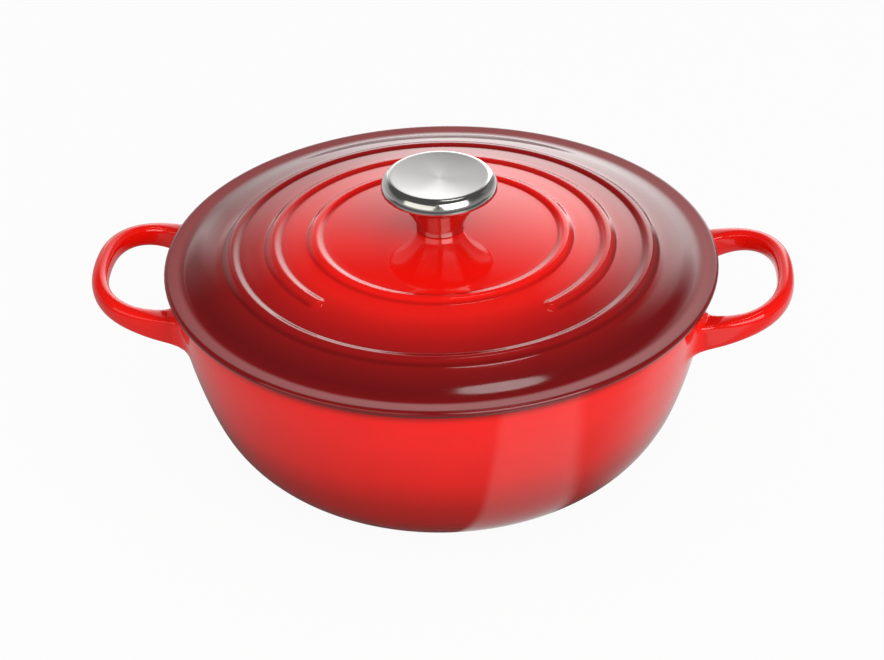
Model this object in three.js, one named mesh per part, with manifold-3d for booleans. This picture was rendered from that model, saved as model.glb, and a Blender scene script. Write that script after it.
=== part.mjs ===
// Enamelled cast-iron marmite: a deep bowl-sided pot with two loop handles, a domed lid with three
// raised rings, and a steel knob held on by a screw from below. Millimetres, +Z up. The origin is
// the centre of the base, the handles lie along X and the lid's front faces -Y.

import * as THREE from 'three';
import { mergeVertices } from 'three/addons/utils/BufferGeometryUtils.js';
import Module from 'manifold-3d';

const wasm = await Module();
wasm.setup();

// Pot: a flat base, a round corner and a long, nearly upright side
const RIM_R = 131.5;
const POT_H = 102.6;
const WALL = 4.2;
const BASE_T = 5;
const CORNER_R = 54.9;
const CORNER_TURN = 70.3;
const SIDE_R = 246;
const RIM_EASE = 1;

// Loop handles, cast with the pot
const HANDLE_STANDOFF = 3;
const HANDLE_REACH = 33;
const HANDLE_SPREAD = 41.6;
const HANDLE_T = 8.4;
const HANDLE_TIP_H = 10.6;
const HANDLE_ROOT_H = 15;
const HANDLE_ROOT_FLARE = 4.5;
const HANDLE_FLAT = 0.4;
const HANDLE_DROP = 8.8;
const HANDLE_LIFT = 8.4;
const HANDLE_BOW = 0.82;
const LEG_BURY = 12.6;

// Lid: a flat flange over the rim, a low step up and a dome
const SEAT_GAP = 0.3;
const LID_OVERHANG = 3.5;
const LID_WALL = 4.5;
const FLANGE_T = 3;
const FLANGE_W = 5.5;
const STEP_RUN = 19.5;
const STEP_RISE = 4.4;
const DOME_RISE = 11.4;
const SKIRT_DEPTH = 5;
const SKIRT_T = 3;
const SKIRT_CLEARANCE = 1.6;
const PAD_COUNT = 3;
const PAD_R = 7;
const PAD_REACH = 0.9;

// Rings raised on the dome, the middle one open at the front
const RING_COUNT = 3;
const OPEN_RING = 1;
const FIRST_RING_R = 61;
const RING_PITCH = 20.5;
const RING_W = 9.2;
const RING_H = 1.5;
const RING_SINK = 1.5;
const RING_OPEN_HALF = 42.2;

// Knob: a dished cap on a flared, hollow stem
const KNOB_R = 28.1;
const KNOB_H = 28.4;
const KNOB_EDGE_H = 22;
const KNOB_CROWN_DROP = 1.8;
const SEAM_R = 26.2;
const SEAM_H = 20.5;
const SEAM_GAP = 0.3;
const DISH_R = 23.7;
const DISH_DEPTH = 2.4;
const STEM_R = 11.5;
const STEM_STRAIGHT = 2;
const STEM_FLOOR = 2;
const FLARE_RISE = 2.6;
const FLARE_SPREAD = 7;
const FLARE_DROP = 4;
const SHELL_T = 1.6;

// Fasteners
const SCREW_R = 3;
const SCREW_REACH = 11;
const SCREW_HEAD_R = 5.8;
const SCREW_HEAD_H = 3.4;
const SCREW_HEAD_ROUND = 2;
const RECESS_W = 1.2;
const RECESS_SPAN = 6;
const RECESS_DEPTH = 1.8;
const SCREW_CLEARANCE = 0.4;
const WASHER_R = 5.4;
const WASHER_T = 1.4;
const WASHER_SPLIT = 1.2;
const INSERT_R = 8.2;
const INSERT_NECK_R = 5.6;
const INSERT_H = 13;
const FIT_GAP = 0.3;

// Facets
const ROUND_STEPS = 44;
const SMALL_STEPS = 28;
const LOOP_STEPS = 20;
const CORNER_STEPS = 7;
const SIDE_STEPS = 4;
const SLOPE_STEPS = 5;
const CROWN_STEPS = 6;
const EASE_STEPS = 3;

// How far a cutting shape runs past what it cuts
const CUT_MARGIN = 10;

// Solids

function solid(geometry) {
  geometry.deleteAttribute('normal');
  geometry.deleteAttribute('uv');
  const merged = mergeVertices(geometry);
  const corners = merged.index.array;
  const kept = [];
  for (let i = 0; i < corners.length; i += 3) {
    const [a, b, c] = corners.slice(i, i + 3);
    if (a !== b && b !== c && c !== a) kept.push(a, b, c);
  }
  return new wasm.Manifold(new wasm.Mesh({
    numProp: 3,
    vertProperties: merged.attributes.position.array,
    triVerts: new Uint32Array(kept),
  }));
}

function turned(outline, steps = ROUND_STEPS) {
  return solid(new THREE.LatheGeometry(outline, steps).rotateX(Math.PI / 2));
}

function piece(name, body, material) {
  const shape = body.getMesh();
  const geometry = new THREE.BufferGeometry();
  geometry.setAttribute('position', new THREE.BufferAttribute(shape.vertProperties, 3));
  geometry.setIndex(new THREE.BufferAttribute(shape.triVerts, 1));
  geometry.computeVertexNormals();
  const mesh = new THREE.Mesh(geometry, material);
  mesh.name = name;
  return mesh;
}

const at = (r, z) => new THREE.Vector2(r, z);
const radians = THREE.MathUtils.degToRad;

function arc(centre, radius, from, to, steps) {
  return Array.from({ length: steps + 1 }, (_, i) => {
    const angle = from + (to - from) * i / steps;
    return at(centre.x + radius * Math.cos(angle), centre.y + radius * Math.sin(angle));
  });
}

// Bowl side: the corner arc rises from the base and runs on into the side arc

const sideStart = radians(CORNER_TURN - 90);
const bend = (SIDE_R - CORNER_R) * Math.cos(sideStart);
const lift = (SIDE_R - CORNER_R) * Math.sin(sideStart);
const sideTop = Math.asin((POT_H - CORNER_R + lift) / SIDE_R);
const baseR = RIM_R - SIDE_R * Math.cos(sideTop) + bend;

function bowlSide(inset, floor, top) {
  const cornerR = CORNER_R - inset;
  const sideR = SIDE_R - inset;
  const corner = at(baseR, floor + cornerR);
  const side = at(corner.x - bend, corner.y - lift);
  const sideEnd = Math.asin((top - side.y) / sideR);
  return [
    ...arc(corner, cornerR, -Math.PI / 2, sideStart, CORNER_STEPS),
    ...arc(side, sideR, sideStart, sideEnd, SIDE_STEPS).slice(1),
  ];
}

const mouthRadius = (z) => bowlSide(WALL, BASE_T, z).at(-1).x;

// Loop handle: a rounded strap swept round half a full ellipse, rising a little to its tip, deeper and
// wider inside at its roots

const loopCentre = RIM_R + HANDLE_STANDOFF;
const handleTop = POT_H - HANDLE_DROP;
const legOuter = HANDLE_SPREAD + HANDLE_T / 2;
const legEnd = Math.sqrt(RIM_R ** 2 - legOuter ** 2) - LEG_BURY;

class HandleLoop extends THREE.Curve {
  getPoint(t, target = new THREE.Vector3()) {
    const turn = Math.PI * (2 * t - 1);
    const swept = THREE.MathUtils.clamp(turn, -Math.PI / 2, Math.PI / 2);
    const along = Math.abs(turn - swept) / (Math.PI / 2);
    const x = along > 0
      ? THREE.MathUtils.lerp(loopCentre, legEnd, along)
      : loopCentre + HANDLE_REACH * Math.max(Math.cos(swept), 0) ** HANDLE_BOW;
    const spread = Math.abs(Math.sin(swept)) ** HANDLE_BOW;
    return target.set(x, HANDLE_SPREAD * spread * Math.sign(swept), 0);
  }
}

function strapSection() {
  const high = HANDLE_TIP_H / 2;
  const wide = HANDLE_T / 2;
  const round = Math.min(high, wide) - HANDLE_FLAT;
  const shape = new THREE.Shape();
  shape.absarc(high - round, wide - round, round, 0, Math.PI / 2);
  shape.absarc(round - high, wide - round, round, Math.PI / 2, Math.PI);
  shape.absarc(round - high, round - wide, round, Math.PI, 1.5 * Math.PI);
  shape.absarc(high - round, round - wide, round, 1.5 * Math.PI, 2 * Math.PI);
  return shape;
}

function loopHandle() {
  const strap = new THREE.ExtrudeGeometry(strapSection(), {
    steps: LOOP_STEPS,
    extrudePath: new HandleLoop(),
    bevelEnabled: false,
    curveSegments: 1,
  });
  const points = strap.attributes.position;
  const tip = loopCentre + HANDLE_REACH;
  const root = Math.sqrt(RIM_R ** 2 - HANDLE_SPREAD ** 2);
  for (let i = 0; i < points.count; i += 1) {
    const inward = THREE.MathUtils.clamp((tip - points.getX(i)) / (tip - root), 0, 1);
    const near = inward ** 2;
    const deeper = 1 + (HANDLE_ROOT_H / HANDLE_TIP_H - 1) * near;
    const y = points.getY(i);
    const inside = THREE.MathUtils.clamp((HANDLE_SPREAD - Math.abs(y)) / HANDLE_T + 0.5, 0, 1);
    points.setY(i, y - Math.sign(y) * HANDLE_ROOT_FLARE * near ** 2 * inside);
    const top = handleTop + HANDLE_LIFT * (1 - inward);
    points.setZ(i, top - (HANDLE_TIP_H / 2 - points.getZ(i)) * deeper);
  }
  return solid(strap);
}

function potBody() {
  const rim = bowlSide(0, 0, POT_H - RIM_EASE).at(-1);
  const outside = turned([
    at(0, 0),
    ...bowlSide(0, 0, POT_H - RIM_EASE),
    ...arc(at(rim.x - RIM_EASE, rim.y), RIM_EASE, 0, Math.PI / 2, EASE_STEPS).slice(1),
    at(0, POT_H),
  ]);
  const cavityTop = POT_H + CUT_MARGIN;
  const cavity = turned([
    at(0, BASE_T),
    ...bowlSide(WALL, BASE_T, POT_H),
    at(mouthRadius(POT_H), cavityTop),
    at(0, cavityTop),
  ]);
  const handle = loopHandle();
  return outside.add(handle).add(handle.rotate([0, 0, 180])).subtract(cavity);
}

// Lid: heights of its upper face at any radius

const lidR = RIM_R + LID_OVERHANG;
const flangeBottom = POT_H + SEAT_GAP;
const flangeTop = flangeBottom + FLANGE_T;
const flangeR = lidR - FLANGE_T / 2 - FLANGE_W;
const domeR = flangeR - STEP_RUN;
const domeEdge = flangeTop + STEP_RISE;
const lidTop = domeEdge + DOME_RISE;

function topHeight(r) {
  if (r <= domeR) return lidTop - DOME_RISE * (r / domeR) ** 2;
  if (r >= flangeR) return flangeTop;
  const u = (r - domeR) / STEP_RUN;
  const fall = -2 * DOME_RISE / domeR * STEP_RUN;
  return flangeTop + STEP_RISE * (1 + 2 * u) * (1 - u) ** 2 + fall * u * (1 - u) ** 2;
}

const seatHeight = topHeight(STEM_R);
const underHeight = seatHeight - LID_WALL;

function topRadii(from, to, steps) {
  return Array.from({ length: steps + 1 }, (_, i) => from + (to - from) * i / steps);
}

function ringHeight(offset) {
  const crestR = (RING_W ** 2 / 4 + RING_H ** 2) / (2 * RING_H);
  return RING_H - crestR + Math.sqrt(crestR ** 2 - offset ** 2);
}

function ring(radius) {
  const crown = topRadii(RING_W / 2, -RING_W / 2, CROWN_STEPS)
    .map((offset) => at(radius + offset, topHeight(radius + offset) + ringHeight(offset)));
  const foot = [crown.at(-1), crown[0]].map((p) => at(p.x, p.y - RING_SINK));
  return turned([foot[1], ...crown, foot[0], foot[1]]);
}

function openRing(radius) {
  const half = radians(RING_OPEN_HALF);
  const reach = radius + RING_W;
  const sector = new THREE.Shape();
  sector.moveTo(0, 0);
  sector.lineTo(-reach * Math.tan(half), -reach);
  sector.lineTo(reach * Math.tan(half), -reach);
  const height = topHeight(radius);
  const wedge = new THREE.ExtrudeGeometry(sector, { depth: 2 * CUT_MARGIN, bevelEnabled: false });
  const opened = ring(radius).subtract(solid(wedge.translate(0, 0, height - CUT_MARGIN)));
  const crown = topRadii(RING_W / 2, 0, CROWN_STEPS / 2)
    .map((offset) => at(offset, ringHeight(offset)));
  const end = turned([at(0, -RING_SINK), at(RING_W / 2, -RING_SINK), ...crown], SMALL_STEPS / 2);
  return [-half, half].reduce((body, turn) => {
    const place = [radius * Math.sin(turn), -radius * Math.cos(turn), height];
    return body.add(end.translate(place));
  }, opened);
}

function lidBody() {
  const holeR = SCREW_R + SCREW_CLEARANCE;
  const skirtEnd = flangeBottom - SKIRT_DEPTH;
  const skirtR = mouthRadius(skirtEnd) - SKIRT_CLEARANCE;
  const skirtInner = skirtR - SKIRT_T;
  const edge = at(lidR - FLANGE_T / 2, flangeBottom + FLANGE_T / 2);
  const step = topRadii(flangeR, domeR, SLOPE_STEPS);
  const dome = topRadii(domeR, STEM_R, SLOPE_STEPS);
  const top = [...step, ...dome.slice(1)].map((r) => at(r, topHeight(r)));
  const under = topRadii(STEM_R, skirtInner, SLOPE_STEPS)
    .map((r) => at(r, topHeight(r) - LID_WALL));
  let body = turned([
    at(holeR, seatHeight),
    at(holeR, underHeight),
    ...under,
    at(skirtInner, skirtEnd),
    at(skirtR, skirtEnd),
    at(skirtR, flangeBottom),
    ...arc(edge, FLANGE_T / 2, -Math.PI / 2, Math.PI / 2, 2 * EASE_STEPS),
    ...top,
    at(holeR, seatHeight),
  ]);
  for (let i = 0; i < RING_COUNT; i += 1) {
    const radius = FIRST_RING_R + i * RING_PITCH;
    body = body.add(i === OPEN_RING ? openRing(radius) : ring(radius));
  }
  const padTop = flangeBottom + FLANGE_T / 2;
  const pad = turned([
    at(0, skirtEnd), at(PAD_R, skirtEnd), at(PAD_R, padTop), at(0, padTop),
  ], SMALL_STEPS);
  const padPlace = skirtR + PAD_REACH - PAD_R;
  for (let i = 0; i < PAD_COUNT; i += 1) {
    body = body.add(pad.translate([0, -padPlace, 0]).rotate([0, 0, 360 * (i + 0.5) / PAD_COUNT]));
  }
  return body;
}

// Knob

const knobFoot = seatHeight + SEAT_GAP;

function knobCurve(points, steps) {
  const raised = points.map(([r, h]) => at(r, knobFoot + h));
  const curve = raised.length === 3
    ? new THREE.QuadraticBezierCurve(...raised)
    : new THREE.CubicBezierCurve(...raised);
  return curve.getPoints(steps);
}

function knobCap() {
  const dishFloor = knobFoot + KNOB_H - DISH_DEPTH;
  const dish = topRadii(DISH_R, 0, SLOPE_STEPS)
    .map((r) => at(r, dishFloor + DISH_DEPTH * (r / DISH_R) ** 2));
  const within = dish.map((p) => at(p.x * (SEAM_R - SHELL_T) / DISH_R, p.y - SHELL_T)).reverse();
  const seamTop = SEAM_H + SEAM_GAP;
  const lower = [[SEAM_R, seamTop], [KNOB_R, seamTop], [KNOB_R, KNOB_EDGE_H]];
  const upper = [[KNOB_R, KNOB_EDGE_H], [KNOB_R, KNOB_H - KNOB_CROWN_DROP], [DISH_R, KNOB_H]];
  return turned([
    ...within,
    at(SEAM_R - SHELL_T, knobFoot + seamTop),
    ...knobCurve(lower, EASE_STEPS),
    ...knobCurve(upper, SLOPE_STEPS).slice(1),
    ...dish.slice(1),
  ], SMALL_STEPS);
}

function knobStem() {
  const flare = (inset) => knobCurve([
    [STEM_R - inset, STEM_STRAIGHT],
    [STEM_R - inset, STEM_STRAIGHT + FLARE_RISE],
    [STEM_R - inset + FLARE_SPREAD, SEAM_H - FLARE_DROP],
    [SEAM_R - inset, SEAM_H],
  ], CROWN_STEPS);
  const floor = knobFoot + STEM_FLOOR;
  const neckR = INSERT_NECK_R + FIT_GAP;
  return turned([
    at(neckR, knobFoot),
    at(STEM_R, knobFoot),
    ...flare(0),
    ...flare(SHELL_T).reverse(),
    at(STEM_R - SHELL_T, floor),
    at(neckR, floor),
    at(neckR, knobFoot),
  ], SMALL_STEPS);
}

function knobInsert() {
  const bore = SCREW_R + FIT_GAP;
  const shoulder = knobFoot + STEM_FLOOR + FIT_GAP;
  const foot = knobFoot + FIT_GAP;
  return turned([
    at(bore, foot),
    at(INSERT_NECK_R, foot),
    at(INSERT_NECK_R, shoulder),
    at(INSERT_R, shoulder),
    at(INSERT_R, knobFoot + INSERT_H),
    at(bore, knobFoot + INSERT_H),
    at(bore, foot),
  ], SMALL_STEPS);
}

// Fasteners under the lid

const washerTop = underHeight - FIT_GAP;
const headTop = washerTop - WASHER_T - FIT_GAP;

function lockWasher() {
  const hole = SCREW_R + SCREW_CLEARANCE;
  const low = washerTop - WASHER_T;
  const round = turned([
    at(hole, low), at(WASHER_R, low), at(WASHER_R, washerTop), at(hole, washerTop), at(hole, low),
  ], SMALL_STEPS);
  const split = new THREE.BoxGeometry(WASHER_SPLIT, 2 * WASHER_R, WASHER_T + CUT_MARGIN);
  return round.subtract(solid(split.translate(0, WASHER_R, washerTop - WASHER_T / 2)));
}

function lidScrew() {
  const headLow = headTop - SCREW_HEAD_H;
  const tip = knobFoot + SCREW_REACH;
  const crown = at(SCREW_HEAD_R - SCREW_HEAD_ROUND, headLow + SCREW_HEAD_ROUND);
  const body = turned([
    at(0, headLow),
    ...arc(crown, SCREW_HEAD_ROUND, -Math.PI / 2, 0, EASE_STEPS),
    at(SCREW_HEAD_R, headTop),
    at(SCREW_R, headTop),
    at(SCREW_R, tip),
    at(0, tip),
  ], SMALL_STEPS);
  return [0, Math.PI / 2].reduce((left, turn) => {
    const slot = new THREE.BoxGeometry(RECESS_SPAN, RECESS_W, 2 * RECESS_DEPTH).rotateZ(turn);
    return left.subtract(solid(slot.translate(0, 0, headLow)));
  }, body);
}

// Finishes

function finish(color, roughness, metalness) {
  return new THREE.MeshStandardMaterial({ color, roughness, metalness });
}

const potEnamel = finish(0xd92b1e, 0.12, 0);
const lidEnamel = finish(0xc4241c, 0.12, 0);
const brushedSteel = finish(0xb9b6b1, 0.32, 1);
const polishedSteel = finish(0xc4c2be, 0.15, 1);
const plainSteel = finish(0x9b9a97, 0.4, 1);

const marmite = new THREE.Group();
marmite.add(
  piece('pot_body', potBody(), potEnamel),
  piece('lid', lidBody(), lidEnamel),
  piece('knob_cap', knobCap(), brushedSteel),
  piece('knob_stem', knobStem(), polishedSteel),
  piece('knob_insert', knobInsert(), plainSteel),
  piece('lock_washer', lockWasher(), plainSteel.clone()),
  piece('lid_screw', lidScrew(), plainSteel.clone()),
);

export default marmite;
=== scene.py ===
# %% [markdown]
# # A round enamelled marmite
# The object is a cast-iron cooking pot with two loop handles, a heavy lid with three raised rings
# and a steel knob that is screwed on from below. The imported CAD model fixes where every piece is.
# This lesson models the surfaces over it: turned walls, handles that grow out of the wall, soft
# rings and a glossy enamel that goes from bright red to burgundy. Everything is in metres.

# %% Load the frame
import math

import bmesh
import bpy
from mathutils import Matrix, Quaternion, Vector


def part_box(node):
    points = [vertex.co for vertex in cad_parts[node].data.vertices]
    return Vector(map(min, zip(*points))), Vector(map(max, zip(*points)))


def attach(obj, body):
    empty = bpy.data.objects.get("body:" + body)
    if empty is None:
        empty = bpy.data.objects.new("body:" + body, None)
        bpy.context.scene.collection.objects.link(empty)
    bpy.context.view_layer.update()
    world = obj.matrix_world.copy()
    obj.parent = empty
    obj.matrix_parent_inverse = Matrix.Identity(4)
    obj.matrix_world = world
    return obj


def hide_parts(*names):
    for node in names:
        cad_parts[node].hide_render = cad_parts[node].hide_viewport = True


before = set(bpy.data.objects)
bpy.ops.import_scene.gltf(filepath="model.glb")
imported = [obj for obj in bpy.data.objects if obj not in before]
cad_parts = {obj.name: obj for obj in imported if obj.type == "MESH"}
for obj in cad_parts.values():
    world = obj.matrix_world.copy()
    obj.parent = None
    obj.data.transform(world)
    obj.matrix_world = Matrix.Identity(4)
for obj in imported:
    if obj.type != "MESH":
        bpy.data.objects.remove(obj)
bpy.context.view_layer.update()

MM = 0.001

# %% [markdown]
# ## Camera
# The picture is taken from a little above the lid, slightly to the right of the pot's front, with a
# long lens held a touch out of level. The camera could be aimed by eye. Here it is placed by its
# distance and angles around the middle of the lid's edge, so each number can be changed by itself.

# %% Camera
IMAGE_W = 884
FOCAL_PIXELS = 2248
SENSOR_W = 36
VIEW_TURN = math.radians(3.8)
VIEW_RISE = math.radians(31.14)
VIEW_PITCH = math.radians(33)
VIEW_ROLL = math.radians(-1.43)
VIEW_DISTANCE = 1.1
VIEW_SIDE = -0.4 * MM

lid_low, lid_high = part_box("lid")
pot_low, pot_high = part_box("pot_body")
LID_R = lid_high.x
POT_TOP = pot_high.z
SEAT_GAP = 0.3 * MM
FLANGE_T = 3 * MM
flange_middle = POT_TOP + SEAT_GAP + FLANGE_T / 2

view_turn = Matrix.Rotation(VIEW_TURN, 3, "Z")
view_tilt = Matrix.Rotation(math.pi / 2 - VIEW_PITCH, 3, "X")
view_roll = Matrix.Rotation(VIEW_ROLL, 3, "Z")
back = Vector((0, -math.cos(VIEW_RISE), math.sin(VIEW_RISE))) * VIEW_DISTANCE
back.x = VIEW_SIDE
eye = Vector((0, 0, flange_middle)) + view_turn @ back

bpy.ops.object.select_all(action="DESELECT")
bpy.ops.object.camera_add(location=eye, rotation=(view_turn @ view_tilt @ view_roll).to_euler())
camera = bpy.context.object
camera.name = "photo_camera"
camera.data.sensor_width = SENSOR_W
camera.data.lens = FOCAL_PIXELS / IMAGE_W * SENSOR_W
bpy.context.scene.camera = camera
bpy.context.scene.view_settings.view_transform = "Standard"
print("camera at", [round(c, 3) for c in eye], "lens", round(camera.data.lens, 1), "mm")

# %% [markdown]
# ## Shader maths
# A finish is a small net of nodes. Wiring them one by one hides the idea, so one class wraps a
# socket and lets ordinary Python operators add the Math nodes, and one method makes any other node:
# its settings are set first, then its sockets get values or links.

# %% Numbers that vary over a surface
class Field:
    """A number that varies over a surface. Arithmetic on it adds Math nodes."""

    def __init__(self, sheet, socket):
        self.sheet = sheet
        self.socket = socket

    def __add__(self, other):
        return self.sheet.math("ADD", self, other)

    def __sub__(self, other):
        return self.sheet.math("SUBTRACT", self, other)

    def __rsub__(self, other):
        return self.sheet.math("SUBTRACT", other, self)

    def __mul__(self, other):
        return self.sheet.math("MULTIPLY", self, other)

    def __truediv__(self, other):
        return self.sheet.math("DIVIDE", self, other)

    def __pow__(self, other):
        return self.sheet.math("POWER", self, other)

    __radd__ = __add__
    __rmul__ = __mul__


def from_axis(x, y):
    """How far a place is from the upright axis."""
    return (x * x + y * y) ** 0.5


print("fields can be added, subtracted, multiplied, divided and raised to a power")

# %% A sheet of nodes
class NodeSheet:
    """The node tree of one finish, with short ways to fill it."""

    def __init__(self, tree):
        self.tree = tree
        tree.nodes.clear()

    def node(self, kind, settings=None, sockets=None):
        made = self.tree.nodes.new("ShaderNode" + kind)
        for name, value in (settings or {}).items():
            if name == "stops":
                self.set_stops(made.color_ramp, value)
            else:
                setattr(made, name, value)
        for name, value in (sockets or {}).items():
            if isinstance(value, Field):
                value = value.socket
            if isinstance(value, bpy.types.NodeSocket):
                self.tree.links.new(value, made.inputs[name])
            else:
                made.inputs[name].default_value = value
        return made

    def set_stops(self, ramp, stops):
        while len(ramp.elements) < len(stops):
            ramp.elements.new(1)
        for element, (place, colour) in zip(ramp.elements, stops):
            element.position = place
            element.color = (*colour, 1)

    def field(self, kind, settings=None, sockets=None):
        return Field(self, self.node(kind, settings, sockets).outputs[0])

    def math(self, operation, first, second=0.0):
        return self.field("Math", {"operation": operation}, {0: first, 1: second})

    def place(self):
        """The point on the piece."""
        return self.node("TexCoord").outputs["Object"]

    def axes(self, where):
        """The three coordinates of a point or a direction."""
        split = self.node("SeparateXYZ", sockets={0: where})
        return [Field(self, socket) for socket in split.outputs]

    def front_axes(self, where):
        """The same in fixed axes turned to the picture: y goes straight back and x to the right."""
        settings = {"rotation_type": "Z_AXIS"}
        faced = self.node("VectorRotate", settings, {0: where, "Angle": -VIEW_TURN})
        return self.axes(faced.outputs[0])

    def rays(self):
        """1 for what is seen straight, and 1 for what is mirrored or shows through glass."""
        path = self.node("LightPath").outputs
        seen = Field(self, path["Is Camera Ray"])
        return seen, self.math("MAXIMUM", path["Is Glossy Ray"], path["Is Transmission Ray"])

    def noise(self, where, scale, detail=2.0):
        sockets = {"Vector": where, "Scale": scale, "Detail": detail}
        return self.field("TexNoise", sockets=sockets)

    def between(self, value, low, high, start=0.0, end=1.0):
        """Start below low, end above high, and a soft change in between."""
        sockets = {0: value, 1: low, 2: high, 3: start, 4: end}
        return self.field("MapRange", {"interpolation_type": "SMOOTHSTEP"}, sockets)

    def ramp(self, value, stops):
        return self.node("ValToRGB", {"stops": stops}, {0: value}).outputs[0]

    def shade(self, colour, amount):
        """A colour made lighter or darker by a factor around 1."""
        scaled = self.node("VectorMath", {"operation": "SCALE"}, {0: colour, "Scale": amount})
        return scaled.outputs[0]

    def bump(self, height, distance):
        return self.node("Bump", sockets={"Height": height, "Distance": distance}).outputs[0]


print("node sheet ready")

# %% Open and close a finish
def new_finish(name):
    material = bpy.data.materials.new(name)
    material.use_nodes = True
    return material, NodeSheet(material.node_tree)


def close_finish(sheet, sockets):
    shader = sheet.node("BsdfPrincipled", sockets=sockets)
    sheet.node("OutputMaterial", sockets={"Surface": shader.outputs[0]})


print("finishes can be opened and closed")

# %% [markdown]
# ## World
# The pot stands in a white studio. Enamel is a mirror with colour under it, so what surrounds the
# pot matters as much as how bright it is. A photograph of a room could be wrapped round the scene.
# A few ramps over the direction do the same, and each can be changed by itself. What is seen
# straight is plain white. What is mirrored is a sweep that is brightest behind the pot and to its
# right, under a dark ceiling. The rest of the light is a soft fill, stronger from above.

# %% World: a sweep behind the pot, under a dark ceiling
# Light of the sweep at places from the far left, 0, to the far right, 1.
SWEEP_SIDES = [(0, 0.10), (0.30, 0.25), (0.33, 0.6), (0.36, 0.35), (0.427, 0.55), (0.50, 0.95),
               (0.70, 1.0), (0.75, 0.08), (1.0, 0.08)]
SWEEP_FADE = (0.3, 0.7)
SWEEP_LEAN = 0.15
SWEEP_LIGHT = 2.9
BEHIND = (-0.05, 0.35)
ROOM_FADE = (0.0, 0.5)
ROOM_LIGHT = (0.35, 0.08)
FILL = (0.35, 0.75)

world = bpy.data.worlds.new("studio")
world.use_nodes = True
bpy.context.scene.world = world
sky = NodeSheet(world.node_tree)
x, y, height = sky.front_axes(sky.node("TexCoord").outputs["Generated"])
across = x / from_axis(x, y)
sides = Field(sky, sky.ramp((across + 1) / 2, [(at, (light,) * 3) for at, light in SWEEP_SIDES]))
lean = height - across * SWEEP_LEAN
sweep = sides * sky.between(lean, *SWEEP_FADE, 1, 0) * sky.between(y, *BEHIND) * SWEEP_LIGHT
room = sky.between(height, *ROOM_FADE, *ROOM_LIGHT)
fill = sky.between(height, 0, 1, *FILL)
seen, mirrored = sky.rays()
level = seen + mirrored * sky.math("MAXIMUM", sweep, room) + (1 - seen - mirrored) * fill
background = sky.node("Background", sockets={"Color": level, "Strength": 1})
sky.node("OutputWorld", sockets={"Surface": background.outputs[0]})
print("world fill", FILL)

# %% [markdown]
# ## Table
# The table is white and keeps a faint shadow of the pot. In the enamel it looks darker, with a light
# panel, as a table does that lamps light only in part. Flags and cards on stands would shape that in
# a studio. Here the mirrored table has ramps of its own, chosen to give the reflections in the
# picture: dim close to the pot and far from it, lighter to the right and behind, and one light panel
# in front on the right.

# %% Table
TABLE_SIZE = 14
TABLE_PAINT = (0.5, 0.5, 0.5, 1)
TABLE_WHITE = 0.95
TABLE_MIRRORED = 0.1
# Each ramp below is its start, its end, and the levels before and after it.
TABLE_AWAY = (0.1, 0.2, 0, 0.35)
TABLE_RIGHT = (0.07, 0.1, 0, 0.45)
TABLE_SIDE = (-0.12, -0.04, 0, 1)
TABLE_BEHIND = (0.1, 0.5, 0, 0.5)
TABLE_FAR = (0.4, 0.8, 1, 0)
PANEL_FROM = -0.037
PANEL_START = (math.radians(24), math.radians(27), 0, 0.6)
PANEL_END = (math.radians(47), math.radians(53), 1, 0)

bpy.ops.object.select_all(action="DESELECT")
bpy.ops.mesh.primitive_plane_add(size=TABLE_SIZE)
table = bpy.context.object
table.name = "table"
finish, sheet = new_finish("white_table")
x, y = sheet.front_axes(sheet.place())[:2]
distance = from_axis(x, y)
away = sheet.between(distance, *TABLE_AWAY)
right = sheet.between(x, *TABLE_RIGHT) * sheet.between(y, *TABLE_SIDE)
swing = sheet.math("ARCTAN2", x - PANEL_FROM, 0 - y)
panel = sheet.between(swing, *PANEL_START) * sheet.between(swing, *PANEL_END)
near = (away + right + panel) * sheet.between(distance, *TABLE_FAR)
behind = sheet.between(y, *TABLE_BEHIND)
seen, mirrored = sheet.rays()
level = seen + mirrored * (near + behind + TABLE_MIRRORED)
paint = sheet.node("BsdfDiffuse", sockets={"Color": TABLE_PAINT})
glow = sheet.node("Emission", sockets={"Color": level, "Strength": 1})
surface = sheet.node("MixShader", sockets={
    0: seen * TABLE_WHITE + mirrored, 1: paint.outputs[0], 2: glow.outputs[0]})
sheet.node("OutputMaterial", sockets={"Surface": surface.outputs[0]})
table.data.materials.append(finish)
print("table", TABLE_SIZE, "m wide")

# %% [markdown]
# ## Lamps
# Two large softboxes in front, left and right, light the pot. A small oval one overhead is there for
# its mirror image, the long highlight on the front slope of the lid. Lamps could be placed by their
# coordinates. A bearing and a rise, as on a lighting plan, are easier to change.

# %% Softboxes
LID_MIDDLE = Vector((0, 0, POT_TOP))
WHITE_LIGHT = (1, 1, 1)
WARM_LIGHT = (1, 0.97, 0.88)


def add_softbox(name, bearing, rise, distance, size, light, tint=WHITE_LIGHT, shape="RECTANGLE", roll=0):
    """A lamp aimed at the lid. Its bearing goes clockwise from straight behind the pot."""
    bearing, rise = math.radians(bearing), math.radians(rise)
    flat = math.cos(rise)
    away = view_turn @ Vector((math.sin(bearing) * flat, math.cos(bearing) * flat, math.sin(rise)))
    aim = away.to_track_quat("Z", "Y") @ Quaternion((0, 0, 1), math.radians(roll))
    bpy.ops.object.select_all(action="DESELECT")
    bpy.ops.object.light_add(
        type="AREA", location=LID_MIDDLE + away * distance, rotation=aim.to_euler())
    lamp = bpy.context.object
    lamp.name = name
    lamp.data.shape = shape
    lamp.data.size, lamp.data.size_y = size
    lamp.data.energy = light * math.pi * size[0] * size[1]
    lamp.data.color = tint


add_softbox("top_softbox", bearing=25.5, rise=71, distance=1.27, size=(0.35, 0.12), light=3.4,
            shape="ELLIPSE", roll=44)
add_softbox("left_softbox", bearing=-138, rise=25, distance=1.9, size=(2.1, 1.1), light=1.2,
            tint=WARM_LIGHT)
add_softbox("right_softbox", bearing=148, rise=33, distance=1.9, size=(1.6, 1.5), light=3.6)

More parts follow.
